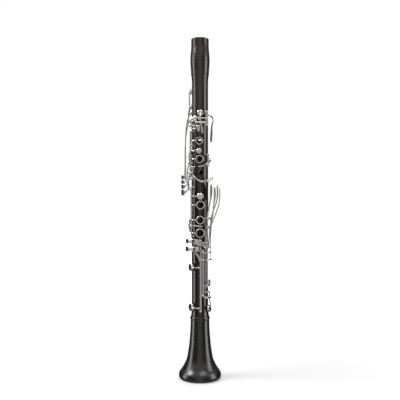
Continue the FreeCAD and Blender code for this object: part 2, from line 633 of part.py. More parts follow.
def make_lower_ring_key(joint):
    low, high = 248.2, 330.0
    hinge = LOWER_RING_HINGE
    hinge_line(joint, hinge, UP, low, high, 1.7)
    cup, recess, pad_arm, pad = pad_with_arm(joint, 1.1, 316.3, hinge, 5.1, 3.5)
    pieces = [key_tube(hinge, UP, low, high), cup, pad_arm]
    cutters = [tube_cutter(hinge, UP, low, high), recess]
    for x, height, inner, outer, hole in LOWER_RINGS:
        add_chimney(joint, angle_of(V(x - 0.3, -17, 0)), height, hole, inner - 0.9, 17.2)
        ring, opening, arm = ring_with_arm(x, height, hinge, inner, outer, 16.0, 17.3)
        pieces += [ring, arm]
        cutters.append(opening)
    bridge = bar([(hinge + V(0, 0, 327.5), 3.2, 2.2), (V(-18.0, -12.8, 329.0), 2.6, 1.8),
                  (V(-19.4, -12.2, 332.4), 2.6, 1.5), (V(-19.8, -12.4, 336.0), 3.0, 1.3),
                  (V(-19.8, -12.4, 339.4), 2.2, 1.0)], V(-0.2, -1, 0))
    return carved(pieces + [bridge], cutters), [pad]


def make_f_sharp_sliver_key(joint):
    low, high = 258.0, 274.0
    hinge = F_SHARP_HINGE
    hinge_line(joint, hinge, UP, low, high)
    add_seat(joint, -114.0, 261.5, 2.8)
    cup, recess = make_cup(joint, -114.0, 261.5, 4.2)
    pad_arm = bar([(hinge + V(0, 0, 261.5), 3.0, 2.2), at(19.8, -92.0, 261.5, 2.5, 1.7),
                   at(18.6, -110.0, 261.5, 2.8, 1.3)])
    lever = bar([(hinge + V(0, 0, 266.6), 3.0, 2.2), at(22.8, -62.0, 266.6, 2.2, 1.8),
                 at(23.2, -48.0, 266.4, 2.1, 1.7), (front(-11.4, 266.2, 21.4), 2.0, 1.6),
                 (front(-4.6, 265.0, 18.4), 1.9, 1.5), (front(2.0, 264.5, 17.9), 2.1, 1.5),
                 (front(4.4, 264.4, 17.6), 1.3, 1.0)])
    key = carved([key_tube(hinge, UP, low, high), pad_arm, lever, cup],
                 [tube_cutter(hinge, UP, low, high), recess])
    return key, [make_pad(joint, -114.0, 261.5, 4.2)]


def make_e_b_key(joint):
    """Long key on its own steel rod, which also carries the F sharp key's tube."""
    hinge = CENTRE_HINGE
    bottom, top = 120.2, 238.2
    add_post(joint, hinge + V(0, 0, bottom - POST_OFFSET), UP)
    add_post(joint, hinge + V(0, 0, top + POST_OFFSET), UP)
    rod = cylinder(ROD_RADIUS, hinge + V(0, 0, bottom - 3.0), hinge + V(0, 0, top + 3.0))
    upper_sleeve = key_tube(hinge, UP, 213.2, top)
    lower_sleeve = key_tube(hinge, UP, bottom, 181.0)
    plate = bar([(hinge + V(0.2, 0, 138.8), 7.6, 3.0), (hinge + V(0.2, 0, 175.2), 7.6, 3.0)], V(0, -1, 0))
    add_seat(joint, -60.0, 124.4, 5.0)
    cup, recess = make_cup(joint, -60.0, 124.4, 6.4)
    pad_arm = bar([(hinge + V(0, 0, 124.2), 3.4, 2.4), at(19.8, -16.0, 124.2, 2.4, 1.9),
                   at(20.0, -36.0, 124.2, 2.5, 1.7), at(18.2, -58.0, 124.4, 3.2, 1.3)])
    touch_arm = bar([(hinge + V(0, 0, 231.0), 3.6, 2.4), (front(-4.0, 233.4, 19.6), 3.0, 1.8),
                     at(20.2, -34.0, 236.4, 3.2, 1.8), at(21.8, -50.0, 238.6, 4.0, 1.8)])
    touch = pinky_touch([-49.0, -55.0, -63.0, -74.0, -80.0], 239.0, 23.0, 8.2)
    tail = bar([(hinge + V(0, 0, 236.2), 3.2, 2.4), (front(6.6, 236.2, 20.2), 2.4, 1.8),
                (front(10.4, 236.2, 21.0), 2.4, 1.7), at(21.2, 41.0, 236.2, 2.6, 1.6),
                at(21.2, 46.0, 236.2, 2.0, 1.2)])
    key = carved([rod, upper_sleeve, lower_sleeve, pad_arm, touch_arm, touch, tail, cup], [recess])
    return key, [make_pad(joint, -60.0, 124.4, 6.4)]


def pinky_touch(angles, height, reach, tall):
    """Smooth touch plate that wraps part of the way round the joint at this height."""
    sizes = [(0.35 * tall, 1.0), (0.9 * tall, 1.7), (tall, 1.9), (0.9 * tall, 1.7), (0.35 * tall, 1.0)]
    stations = [(polar(reach, angle, height), wide, deep) for angle, (wide, deep) in zip(angles, sizes)]
    return bar(stations)


def make_f_sharp_c_sharp_key(joint):
    """Key whose tube turns on the long E key rod."""
    hinge = CENTRE_HINGE
    low, high = 181.2, 213.0
    add_seat(joint, -62.0, 193.5, 4.9)
    cup, recess = make_cup(joint, -62.0, 193.5, 6.2)
    pad_arm = bar([(hinge + V(0, 0, 193.8), 3.2, 2.4), at(19.8, -16.0, 193.8, 2.4, 1.9),
                   at(20.0, -38.0, 193.6, 2.5, 1.7), at(18.2, -60.0, 193.5, 3.2, 1.3)])
    touch_arm = bar([(hinge + V(0, 0, 204.0), 3.4, 2.4), (front(-1.4, 209.4, 20.4), 3.4, 2.0),
                     (front(-4.4, 215.4, 20.8), 3.6, 1.9), (front(-8.6, 220.4, 21.0), 3.6, 1.8),
                     at(21.4, -38.0, 223.6, 3.6, 1.8), at(22.2, -50.0, 225.4, 4.2, 1.8)])
    touch = pinky_touch([-49.0, -55.0, -64.0, -76.0, -83.0], 225.6, 23.2, 8.8)
    tail = bar([(hinge + V(0, 0, 207.0), 3.0, 2.4), (front(5.2, 207.0, 22.2), 2.3, 1.8),
                at(23.2, 30.0, 207.0, 2.3, 1.7), at(23.4, 50.0, 207.0, 2.3, 1.7),
                at(23.0, 72.0, 207.0, 2.3, 1.7), at(22.3, 92.0, 207.0, 2.5, 1.5),
                at(22.2, 97.0, 207.0, 1.8, 1.1)])
    key = carved([key_tube(hinge, UP, low, high), pad_arm, touch_arm, touch, tail, cup],
                 [tube_cutter(hinge, UP, low, high), recess])
    return key, [make_pad(joint, -62.0, 193.5, 6.2)]


def make_f_c_key(joint):
    hinge = SECOND_HINGE
    low, high = 146.6, 221.0
    hinge_line(joint, hinge, UP, low, high)
    touch_arm = bar([(hinge + V(0, 0, 214.5), 3.4, 2.4), (front(5.0, 218.0, 21.0), 3.2, 2.0),
                     (front(2.6, 222.0, 22.2), 3.4, 1.9), (front(-0.4, 224.6, 23.0), 4.4, 1.8)])
    touch = bar([(front(0.8, 223.8, 23.2), 3.0, 1.2), (front(-1.6, 225.0, 23.6), 6.4, 1.7),
                 (front(-6.0, 226.0, 24.4), 8.4, 1.9), (front(-11.0, 226.0, 24.8), 8.4, 1.8),
                 (front(-14.4, 225.8, 24.8), 6.4, 1.4), (front(-15.4, 225.8, 24.7), 2.4, 0.9)])
    tail = bar([(hinge + V(0, 0, 219.0), 3.0, 2.4), at(21.6, 26.0, 219.4, 2.4, 1.9),
                at(22.8, 40.0, 219.5, 2.3, 1.7), at(22.6, 58.0, 219.5, 2.3, 1.7),
                at(21.7, 75.0, 219.5, 2.5, 1.5), at(21.6, 81.0, 219.5, 1.8, 1.1)])
    pusher = bar([(hinge + V(0, 0, 151.6), 3.2, 2.4), at(19.8, 28.0, 151.6, 2.4, 1.8),
                  at(20.6, 42.0, 151.8, 2.5, 1.5), at(20.6, 50.0, 151.8, 2.2, 1.2)])
    key = carved([key_tube(hinge, UP, low, high), touch_arm, touch, tail, pusher],
                 [tube_cutter(hinge, UP, low, high)])
    return key, []


def make_f_c_pad_lever(joint):
    hinge = sideways(PAD_LEVER_ANGLE)
    centre = polar(18.4, PAD_LEVER_ANGLE, 141.4)
    low, high = -3.6, 3.6
    hinge_line(joint, centre, hinge, low, high, facing=PAD_LEVER_ANGLE)
    add_seat(joint, 64.0, 122.6, 4.8)
    cup, recess = make_cup(joint, 64.0, 122.6, 6.0)
    arm = bar([(centre, 3.0, 2.4), at(19.4, 60.0, 134.0, 2.8, 2.0), at(18.4, 63.0, 124.0, 3.2, 1.4)])
    tail = bar([(centre, 3.0, 2.4), at(21.2, 54.0, 145.6, 2.6, 1.9), at(22.6, 49.0, 150.0, 2.8, 1.5),
                at(22.6, 47.5, 154.0, 2.2, 1.1)])
    key = carved([key_tube(centre, hinge, low, high), arm, tail, cup],
                 [tube_cutter(centre, hinge, low, high), recess])
    return key, [make_pad(joint, 64.0, 122.6, 6.0)]


def make_a_flat_e_flat_key(joint):
    hinge = OUTER_HINGE
    low, high = 163.0, 229.4
    hinge_line(joint, hinge, UP, low, high)
    add_seat(joint, 77.0, 166.0, 4.6)
    cup, recess = make_cup(joint, 77.0, 166.0, 5.8)
    pad_arm = bar([(hinge + V(0, 0, 166.0), 3.2, 2.4), at(19.8, 56.0, 166.0, 2.5, 1.8),
                   at(18.3, 74.0, 166.0, 3.0, 1.3)])
    touch_arm = bar([(hinge + V(0, 0, 225.6), 3.2, 2.4), (front(10.0, 227.4, 21.8), 3.2, 1.9),
                     (front(6.6, 230.6, 23.2), 3.4, 1.8), (front(2.6, 235.6, 24.6), 3.8, 1.8),
                     (front(-2.0, 238.4, 25.6), 5.0, 1.8)])
    touch = bar([(front(-0.8, 237.8, 25.4), 4.0, 1.2), (front(-3.8, 238.9, 26.0), 6.4, 1.7),
                 (front(-8.0, 239.2, 26.9), 8.0, 1.9), (front(-12.6, 239.2, 27.6), 8.0, 1.8),
                 (front(-15.4, 239.1, 27.9), 6.0, 1.4), (front(-16.3, 239.0, 27.9), 2.4, 0.9)])
    tail = bar([(hinge + V(0, 0, 227.6), 3.0, 2.4), at(20.8, 52.0, 228.4, 2.5, 1.7),
                at(20.6, 60.0, 228.6, 2.5, 1.6), at(20.5, 65.0, 228.6, 1.8, 1.1)])
    key = carved([key_tube(hinge, UP, low, high), pad_arm, touch_arm, touch, tail, cup],
                 [tube_cutter(hinge, UP, low, high), recess])
    return key, [make_pad(joint, 77.0, 166.0, 5.8)]


# ---------------------------------------------------------------- left hand levers
def make_left_lever(joint, hinge_angle, hinge_height, upper, lower):
    hinge = sideways(hinge_angle)
    centre = polar(19.2, hinge_angle, hinge_height)
    low, high = -1.4, 1.4
    hinge_line(joint, centre, hinge, low, high, facing=hinge_angle)
    upper_arm = bar([(centre, 2.6, 2.4)] + upper)
    lower_arm = bar([(centre, 2.6, 2.4)] + lower)
    tube = key_tube(centre, hinge, low, high)
    return carved([tube, upper_arm, lower_arm], [tube_cutter(centre, hinge, low, high)])


def make_left_levers(joint):
    first = make_left_lever(
        joint, 41.0, 278.0,
        [at(20.6, 42.0, 286.0), at(22.4, 44.0, 298.0), at(23.6, 47.0, 308.0, 3.0, 1.8),
         at(24.4, 50.0, 318.0, 5.4, 1.8), at(24.6, 51.0, 328.0, 6.0, 1.8), at(24.2, 51.0, 335.0, 4.6, 1.5),
         at(23.8, 51.0, 337.0, 1.8, 0.9)],
        [at(19.6, 41.0, 270.0, 2.0, 1.8), at(18.6, 41.0, 255.0, 2.0, 1.7), at(17.9, 41.0, 243.0, 2.2, 1.5),
         at(17.8, 41.0, 234.6, 2.4, 1.4)])
    second = make_left_lever(
        joint, 60.0, 263.0,
        [at(21.4, 60.0, 269.0), at(24.4, 60.0, 277.0), at(26.0, 60.5, 290.0),
         at(27.4, 61.5, 304.0, 2.6, 1.8), at(28.4, 62.5, 313.0, 5.0, 1.8), at(28.6, 63.0, 322.0, 6.2, 1.8),
         at(28.2, 63.0, 330.0, 5.0, 1.5), at(27.8, 63.0, 332.4, 2.0, 0.9)],
        [at(19.0, 60.5, 254.0, 2.0, 1.8), at(17.9, 60.0, 240.0, 2.1, 1.6), at(17.5, 60.0, 227.0, 2.4, 1.4)])
    third = make_left_lever(
        joint, 77.0, 278.0,
        [at(22.0, 77.0, 286.0), at(26.4, 76.0, 298.0), at(30.0, 74.5, 308.0, 3.2, 1.8),
         at(31.4, 74.0, 317.0, 6.0, 1.8), at(31.6, 74.0, 326.0, 6.6, 1.8), at(31.0, 74.0, 334.0, 5.0, 1.5),
         at(30.6, 74.0, 336.6, 2.0, 0.9)],
        [at(19.4, 77.0, 270.0, 1.9, 1.8), at(18.8, 77.0, 255.0, 1.9, 1.7), at(18.2, 77.0, 235.0, 2.0, 1.6),
         at(17.9, 77.0, 218.0, 2.4, 1.4)])
    fourth = make_left_lever(
        joint, 94.0, 263.0,
        [at(21.2, 94.0, 269.0), at(25.0, 92.5, 279.0), at(29.4, 90.5, 291.0),
         at(32.6, 89.0, 301.0, 3.2, 1.8), at(34.2, 88.0, 311.0, 6.0, 1.8), at(34.6, 87.5, 321.0, 6.6, 1.8),
         at(34.2, 87.5, 330.0, 5.2, 1.5), at(33.8, 87.5, 333.0, 2.0, 0.9)],
        [at(19.2, 94.0, 254.0, 2.0, 1.8), at(18.4, 94.0, 240.0, 2.0, 1.7), at(18.0, 94.0, 222.0, 2.0, 1.6),
         at(17.9, 94.0, 205.6, 2.4, 1.4)])
    return [first, second, third, fourth]


# ---------------------------------------------------------------- thumb rest and small trim
REST_HEIGHT = 268.0


def make_rest_plate():
    """Guide plate screwed to the back of the lower joint."""
    inner = LOWER_WOOD + 0.05
    arc = turned([(inner, REST_HEIGHT - 16), (inner + 1.4, REST_HEIGHT - 16), (inner + 1.4, REST_HEIGHT + 16),
                  (inner, REST_HEIGHT + 16)])
    window = Part.makeBox(10.0, 8.0, 32.0, V(-5.0, 11.0, REST_HEIGHT - 16))
    plate = arc.common(window)
    slot = Part.makeBox(3.0, 8.0, 18.0, V(-1.5, 11.0, REST_HEIGHT - 9))
    holes = [cylinder(1.15, V(0, 10, REST_HEIGHT + step), V(0, 20, REST_HEIGHT + step)) for step in (-13, 13)]
    return carved([plate], [slot] + holes)


def make_rest_screws(joint):
    screws = []
    for step in (-13, 13):
        height = REST_HEIGHT + step
        shank = cylinder(1.1, V(0, 11.4, height), V(0, 15.9, height))
        head = Part.makeSphere(2.6, V(0, 14.4, height))
        head = head.common(cylinder(2.0, V(0, 15.87, height), V(0, 18, height)))
        screw = shank.fuse(head)
        screws.append(screw.cut(Part.makeBox(0.5, 0.6, 5, V(-0.25, 16.5, height - 2.5))))
        joint.cutters.append(cylinder(1.15, V(0, 11.2, height), V(0, 17, height)))
    return screws


def make_thumb_hook():
    """Sliding thumb rest: a carrier block on the plate with a curved hook below it."""
    block = Part.makeBox(8.0, 3.0, 13.0, V(-4.0, 16.1, REST_HEIGHT - 6.5))
    block = block.makeFillet(0.8, block.Edges)
    hook = bar([(V(0, 18.4, REST_HEIGHT - 4.5), 7.4, 2.6), (V(0, 23.0, REST_HEIGHT - 4.6), 9.5, 2.2),
                (V(0, 28.0, REST_HEIGHT - 3.4), 11.0, 2.0), (V(0, 32.0, REST_HEIGHT - 0.6), 10.6, 1.8),
                (V(0, 34.4, REST_HEIGHT + 3.2), 6.0, 1.2)], V(0, -0.3, 1))
    hole = cylinder(1.05, V(0, 10, REST_HEIGHT + 2), V(0, 22, REST_HEIGHT + 2))
    return carved([block, hook], [hole])


def make_rest_thumbscrew():
    height = REST_HEIGHT + 2
    shank = cylinder(1.0, V(0, 15.2, height), V(0, 20.0, height))
    knob = cylinder(2.9, V(0, 19.2, height), V(0, 21.4, height))
    knurls = [cylinder(0.35, V(2.95 * math.cos(turn), 19, height + 2.95 * math.sin(turn)),
                       V(2.95 * math.cos(turn), 22, height + 2.95 * math.sin(turn)))
              for turn in [math.radians(20 * step) for step in range(18)]]
    return carved([shank, knob], knurls)


def lined_tube(joint, angle, height, hole, outer, low, top):
    """Metal tube let into the wood and standing out of it."""
    joint.cutters.append(to_surface(Part.makeCylinder(outer + 0.05, 12, V(0, 0, low - 0.05)), angle, height))
    profile = [(hole, low), (outer, low), (outer, top - 0.5), (outer - 0.4, top)]
    profile += [(hole + 0.4, top), (hole, top - 0.5)]
    return to_surface(turned(profile), angle, height)


# ---------------------------------------------------------------- rest positions
RING_OPEN = 5.6
THUMB_OPEN = 5.0
LOWER_RING_OPEN = 7.0
E_B_OPEN = 6.6
F_SHARP_OPEN = 6.6
F_C_OPEN = 5.6
PAD_LEVER_OPEN = 5.4


def export_key(name, made, swing=None):
    """Write a key and its pad, swung from the closed position it is drawn in to its rest position."""
    key, pads = made
    if swing is not None:
        point, axis, degrees = swing
        key = turn_about(key, point, axis, degrees)
        pads = [turn_about(pad, point, axis, degrees) for pad in pads]
    export(name, key)
    if pads:
        export(name.replace("_key", "").replace("_lever", "") + "_pad", pads[0])


def add_upper_springs(joint):
    add_spring(joint, UPPER_RING_HINGE, 426.6 + POST_OFFSET, -16.0)
    add_spring(joint, UPPER_RING_HINGE, 347.4 - POST_OFFSET, 18.0)
    add_spring(joint, CSHARP_HINGE, 364.6 + POST_OFFSET, -9.0)
    add_spring(joint, SLIVER_HINGE, 386.4 + POST_OFFSET, -12.0)
    add_spring(joint, REGISTER_HINGE, 460.4 + POST_OFFSET, -10.0)
    add_spring(joint, THUMB_HINGE, 447.0 + POST_OFFSET, -16.0)


def add_lower_springs(joint):
    add_spring(joint, LOWER_RING_HINGE, 248.2 - POST_OFFSET, 20.0)
    add_spring(joint, F_SHARP_HINGE, 274.0 + POST_OFFSET, -12.0)
    add_spring(joint, OUTER_HINGE, 229.4 + POST_OFFSET, -16.0)
    add_spring(joint, SECOND_HINGE, 146.6 - POST_OFFSET, 16.0)


def build_upper():
    joint = Joint(UPPER_WOOD)
    export_key("a_key", make_a_key(joint))
    export_key("g_sharp_key", make_g_sharp_key(joint))
    export_key("register_key", make_register_key(joint))
    export_key("thumb_ring_key", make_thumb_ring_key(joint), (THUMB_HINGE, UP, -THUMB_OPEN))
    export_key("index_ring_key", make_index_ring_key(joint), (UPPER_RING_HINGE, UP, -RING_OPEN))
    export_key("middle_ring_key", make_middle_ring_key(joint), (UPPER_RING_HINGE, UP, -RING_OPEN))
    export_key("c_sharp_g_sharp_key", make_c_sharp_key(joint))
    export_key("e_flat_sliver_key", make_e_flat_sliver_key(joint))
    names = ["first_side_key", "second_side_key", "third_side_key", "fourth_side_key"]
    for name, made in zip(names, make_side_keys(joint)):
        export_key(name, made)
    add_chimney(joint, angle_of(V(2.4, -17, 0)), 356.8, 4.0, 5.0, 15.0)
    export("register_vent", lined_tube(joint, -2.0, 450.4, 1.3, 2.0, 8.2, UPPER_WOOD + SEAT_HEIGHT))
    export("thumb_tube", lined_tube(joint, 180.0, 418.0, 4.0, 5.0, 8.8, 16.9))
    add_upper_springs(joint)
    export("upper_joint", make_upper_wood(joint))
    export("upper_posts", [post.cut(joint.spring_holes) for post in joint.posts])
    export("upper_hinge_rods", joint.rods)
    export("upper_springs", joint.springs)


def build_lower():
    joint = Joint(LOWER_WOOD)
    export_key("lower_ring_key", make_lower_ring_key(joint), (LOWER_RING_HINGE, UP, -LOWER_RING_OPEN))
    export_key("f_sharp_sliver_key", make_f_sharp_sliver_key(joint))
    export_key("e_b_key", make_e_b_key(joint), (CENTRE_HINGE, UP, E_B_OPEN))
    export_key("f_sharp_c_sharp_key", make_f_sharp_c_sharp_key(joint), (CENTRE_HINGE, UP, F_SHARP_OPEN))
    export_key("f_c_key", make_f_c_key(joint), (SECOND_HINGE, UP, F_C_OPEN))
    lever_point = polar(18.4, PAD_LEVER_ANGLE, 141.4)
    swing = (lever_point, sideways(PAD_LEVER_ANGLE), -PAD_LEVER_OPEN)
    export_key("f_c_cup_lever", make_f_c_pad_lever(joint), swing)
    export_key("a_flat_e_flat_key", make_a_flat_e_flat_key(joint))
    names = ["left_e_b_lever", "left_a_flat_lever", "left_f_c_lever", "left_f_sharp_lever"]
    for name, lever in zip(names, make_left_levers(joint)):
        export(name, lever)
    export("thumb_rest_screws", make_rest_screws(joint))
    export("thumb_rest_plate", make_rest_plate())
    export("thumb_hook", make_thumb_hook())
    export("thumb_rest_thumbscrew", make_rest_thumbscrew())
    add_lower_springs(joint)
    export("lower_joint", make_lower_wood(joint))
    export("lower_posts", [post.cut(joint.spring_holes) for post in joint.posts])
    export("lower_hinge_rods", joint.rods)
    export("lower_springs", joint.springs)


def build_body():
    export("barrel", make_barrel())
    export("bell", make_bell())
    low = LOWER_TOP + JOINT_GAP
    bell_low = BELL_TOP + JOINT_GAP
    export("upper_tenon_cork", cork_ring(BARREL_SOCKET, UPPER_TENON, UPPER_TOP + 3, UPPER_TOP + 13))
    export("middle_tenon_cork", cork_ring(MIDDLE_SOCKET, MIDDLE_TENON, low - 14, low - 3))
    export("lower_tenon_cork", cork_ring(BELL_SOCKET, BELL_TENON, bell_low - 14, bell_low - 3))


build_body()
build_upper()
build_lower()
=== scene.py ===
"""Clarinet on its bell in a white studio: finishes, screw heads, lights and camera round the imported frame."""

import math
import numpy

import bmesh
import bpy
from mathutils import Matrix, Vector


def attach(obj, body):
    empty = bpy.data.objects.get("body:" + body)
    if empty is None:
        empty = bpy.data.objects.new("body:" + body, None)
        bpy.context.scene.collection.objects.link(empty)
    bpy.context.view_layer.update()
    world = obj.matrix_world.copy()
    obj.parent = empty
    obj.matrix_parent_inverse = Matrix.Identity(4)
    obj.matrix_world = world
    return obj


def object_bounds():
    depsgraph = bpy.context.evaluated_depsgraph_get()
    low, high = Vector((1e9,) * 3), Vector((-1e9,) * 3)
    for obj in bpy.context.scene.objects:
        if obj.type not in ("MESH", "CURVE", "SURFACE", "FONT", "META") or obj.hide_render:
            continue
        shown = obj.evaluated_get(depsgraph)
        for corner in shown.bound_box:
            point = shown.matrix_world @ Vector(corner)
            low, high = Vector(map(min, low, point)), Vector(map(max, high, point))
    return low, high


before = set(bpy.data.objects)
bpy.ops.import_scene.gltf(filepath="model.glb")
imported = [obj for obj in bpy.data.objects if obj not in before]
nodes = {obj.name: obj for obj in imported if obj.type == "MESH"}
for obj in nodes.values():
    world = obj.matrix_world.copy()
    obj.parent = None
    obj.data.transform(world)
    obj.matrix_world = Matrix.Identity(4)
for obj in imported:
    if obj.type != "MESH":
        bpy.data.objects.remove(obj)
cad_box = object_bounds()
LOW, HIGH = Vector(cad_box[0]), Vector(cad_box[1])
HEIGHT = HIGH.z - LOW.z


# ---------------------------------------------------------------- camera
CAMERA_DISTANCE = 1.047
CAMERA_HEIGHT = 0.525 * HEIGHT
LENS = 54.0
SENSOR_WIDTH = 36.0
CLIP_END = 50.0


def add_camera():
    """Level, in front of the keys, a little above the middle of the object."""
    data = bpy.data.cameras.new("camera")
    data.lens = LENS
    data.sensor_width = SENSOR_WIDTH
    data.clip_end = CLIP_END
    camera = bpy.data.objects.new("camera", data)
    camera.location = (0.0, -CAMERA_DISTANCE, CAMERA_HEIGHT)
    camera.rotation_euler = (math.radians(90), 0, 0)
    bpy.context.scene.collection.objects.link(camera)
    bpy.context.scene.camera = camera


add_camera()


# ---------------------------------------------------------------- helpers
EVEN = (1, 1, 1)


class Shader:
    """A small builder for one procedural material, in the object's own coordinates."""

    def __init__(self, name):
        self.material = bpy.data.materials.new(name)
        self.material.use_nodes = True
        self.tree = self.material.node_tree
        self.surface = self.tree.nodes["Principled BSDF"]
        self.place = self.tree.nodes.new("ShaderNodeTexCoord")

    def node(self, kind, **settings):
        made = self.tree.nodes.new(kind)
        for key, value in settings.items():
            setattr(made, key, value)
        return made

    def link(self, source, target):
        self.tree.links.new(source, target)

    def stretched(self, scale):
        mapping = self.node("ShaderNodeMapping")
        mapping.inputs["Scale"].default_value = scale
        self.link(self.place.outputs["Object"], mapping.inputs["Vector"])
        return mapping.outputs["Vector"]

    def noise(self, scale, stretch=EVEN, detail=4.0, rough=0.55, twist=0.0):
        texture = self.node("ShaderNodeTexNoise")
        texture.inputs["Scale"].default_value = scale
        texture.inputs["Detail"].default_value = detail
        texture.inputs["Roughness"].default_value = rough
        texture.inputs["Distortion"].default_value = twist
        self.link(self.stretched(stretch), texture.inputs["Vector"])
        return texture.outputs["Fac"]

    def cells(self, scale, stretch=EVEN):
        texture = self.node("ShaderNodeTexVoronoi")
        texture.inputs["Scale"].default_value = scale
        self.link(self.stretched(stretch), texture.inputs["Vector"])
        return texture.outputs["Distance"]

    def ramp(self, source, stops):
        ramp = self.node("ShaderNodeValToRGB")
        elements = ramp.color_ramp.elements
        while len(elements) < len(stops):
            elements.new(0.5)
        for element, (place, colour) in zip(elements, stops):
            element.position = place
            element.color = (*colour, 1.0)
        self.link(source, ramp.inputs["Fac"])
        return ramp.outputs["Color"]

    def band(self, source, low, high):
        """Map 0 to 1 onto low to high."""
        mapped = self.node("ShaderNodeMapRange")
        mapped.inputs["To Min"].default_value = low
        mapped.inputs["To Max"].default_value = high
        self.link(source, mapped.inputs["Value"])
        return mapped.outputs["Result"]

    def math(self, operation, first, second):
        """Each term is a number or another node's output."""
        made = self.node("ShaderNodeMath", operation=operation)
        for socket, value in zip(made.inputs, (first, second)):
            if isinstance(value, (int, float)):
                socket.default_value = value
            else:
                self.link(value, socket)
        return made.outputs["Value"]

    def weighted(self, first, first_share, second, second_share):
        """Two textures added in the given shares."""
        first_part = self.math("MULTIPLY", first, first_share)
        second_part = self.math("MULTIPLY", second, second_share)
        return self.math("ADD", first_part, second_part)

    def mixed(self, factor, first, second, kind="MIX"):
        made = self.node("ShaderNodeMix", data_type="RGBA", blend_type=kind)
        for label, value in (("Factor", factor), ("A", first), ("B", second)):
            socket = made.inputs[label]
            if isinstance(value, (int, float)):
                socket.default_value = value
            elif isinstance(value, tuple):
                socket.default_value = (*value, 1.0)
            else:
                self.link(value, socket)
        return made.outputs["Result"]

    def bump(self, source, strength, distance):
        made = self.node("ShaderNodeBump")
        made.inputs["Strength"].default_value = strength
        made.inputs["Distance"].default_value = distance
        self.link(source, made.inputs["Height"])
        self.link(made.outputs["Normal"], self.surface.inputs["Normal"])

    def colour(self, source):
        self.link(source, self.surface.inputs["Base Color"])

    def roughness(self, source):
        self.link(source, self.surface.inputs["Roughness"])

    def fixed(self, **values):
        for key, value in values.items():
            self.surface.inputs[key.replace("_", " ")].default_value = value


def link_new(name, build):
    """Turn a bmesh into a linked object."""
    mesh = bpy.data.meshes.new(name)
    build.to_mesh(mesh)
    build.free()
    made = bpy.data.objects.new(name, mesh)
    bpy.context.scene.collection.objects.link(made)
    return made


# ---------------------------------------------------------------- materials
BLACK = (0, 0, 0)
WHITE = (1, 1, 1)
PORE_WIDTH = 0.22
PORE_DARKENING = 0.45
OIL_SHEEN = 0.9
WOOD_ROUGHNESS = (0.2, 0.3)


def blackwood(name, dark, middle, light):
    """Oiled blackwood: long straight grain, fine open pores and slow changes of tone."""
    made = Shader(name)
    grain = made.noise(260.0, (1, 1, 0.035), detail=6.0, rough=0.6, twist=0.25)
    figure = made.noise(38.0, (1, 1, 0.12), detail=3.0, rough=0.5, twist=0.6)
    pores = made.cells(1500.0, (1, 1, 0.04))
    tone = made.weighted(grain, 0.6, figure, 0.4)
    wood = made.ramp(tone, [(0.30, dark), (0.52, middle), (0.74, light)])
    pore_mask = made.ramp(pores, [(0.0, BLACK), (PORE_WIDTH, WHITE)])
    made.colour(made.mixed(made.band(pore_mask, PORE_DARKENING, 0.0), wood, dark))
    wear = made.weighted(grain, 0.4, figure, 0.6)
    made.roughness(made.band(wear, *WOOD_ROUGHNESS))
    made.bump(made.weighted(grain, 0.4, pores, 0.3), strength=0.012, distance=0.00002)
    made.fixed(Specular_IOR_Level=OIL_SHEEN)
    return made.material


def silver_plate(name, bright, shade, rough_low, rough_high):
    """Polished silver plate with faint handling marks and a warm bloom in places."""
    made = Shader(name)
    bloom = made.noise(70.0, detail=4.0, rough=0.6, twist=0.4)
    marks = made.noise(900.0, (1, 1, 0.25), detail=5.0, rough=0.7)
    made.colour(made.ramp(bloom, [(0.32, shade), (0.58, bright)]))
    made.roughness(made.band(made.weighted(bloom, 0.5, marks, 0.5), rough_low, rough_high))
    made.bump(marks, strength=0.05, distance=0.00004)
    made.fixed(Metallic=1.0)
    return made.material


def turned_steel(name, colour, shade, rough):
    """Steel with fine turning rings along its length and a slow stain of a darker tone."""
    made = Shader(name)
    rings = made.noise(2400.0, (0.2, 0.2, 1), detail=3.0, rough=0.6)
    stain = made.noise(160.0, detail=4.0, rough=0.6)
    made.colour(made.ramp(stain, [(0.3, shade), (0.65, colour)]))
    made.roughness(made.band(rings, rough - 0.08, rough + 0.12))
    made.bump(rings, strength=0.12, distance=0.00003)
    made.fixed(Metallic=1.0)
    return made.material


def cork_material():
    """Greased cork: pale brown with darker cells and flecks."""
    made = Shader("greased_cork")
    cells = made.cells(900.0)
    flecks = made.noise(420.0, (1, 1, 0.6), detail=5.0, rough=0.7, twist=0.8)
    tones = [(0.30, (0.20, 0.10, 0.05)), (0.46, (0.52, 0.33, 0.18)), (0.72, (0.68, 0.48, 0.29))]
    body = made.ramp(flecks, tones)
    cell_tint = made.ramp(cells, [(0.1, (0.34, 0.2, 0.1)), (0.7, (0.7, 0.5, 0.32))])
    made.colour(made.mixed(0.35, body, cell_tint, "MULTIPLY"))
    made.roughness(made.band(flecks, 0.62, 0.9))
    made.bump(made.math("ADD", cells, flecks), strength=0.5, distance=0.00012)
    return made.material


def pad_skin():
    """Cream fish skin stretched over felt, with fine wrinkles towards the rim."""
    made = Shader("pad_skin")
    wrinkles = made.noise(900.0, detail=6.0, rough=0.65, twist=1.2)
    cloud = made.noise(220.0, detail=3.0, rough=0.5)
    made.colour(made.ramp(cloud, [(0.3, (0.72, 0.64, 0.5)), (0.7, (0.88, 0.83, 0.72))]))
    made.roughness(made.band(wrinkles, 0.42, 0.66))
    made.bump(wrinkles, strength=0.3, distance=0.00008)
    made.fixed(Sheen_Weight=0.1)
    return made.material


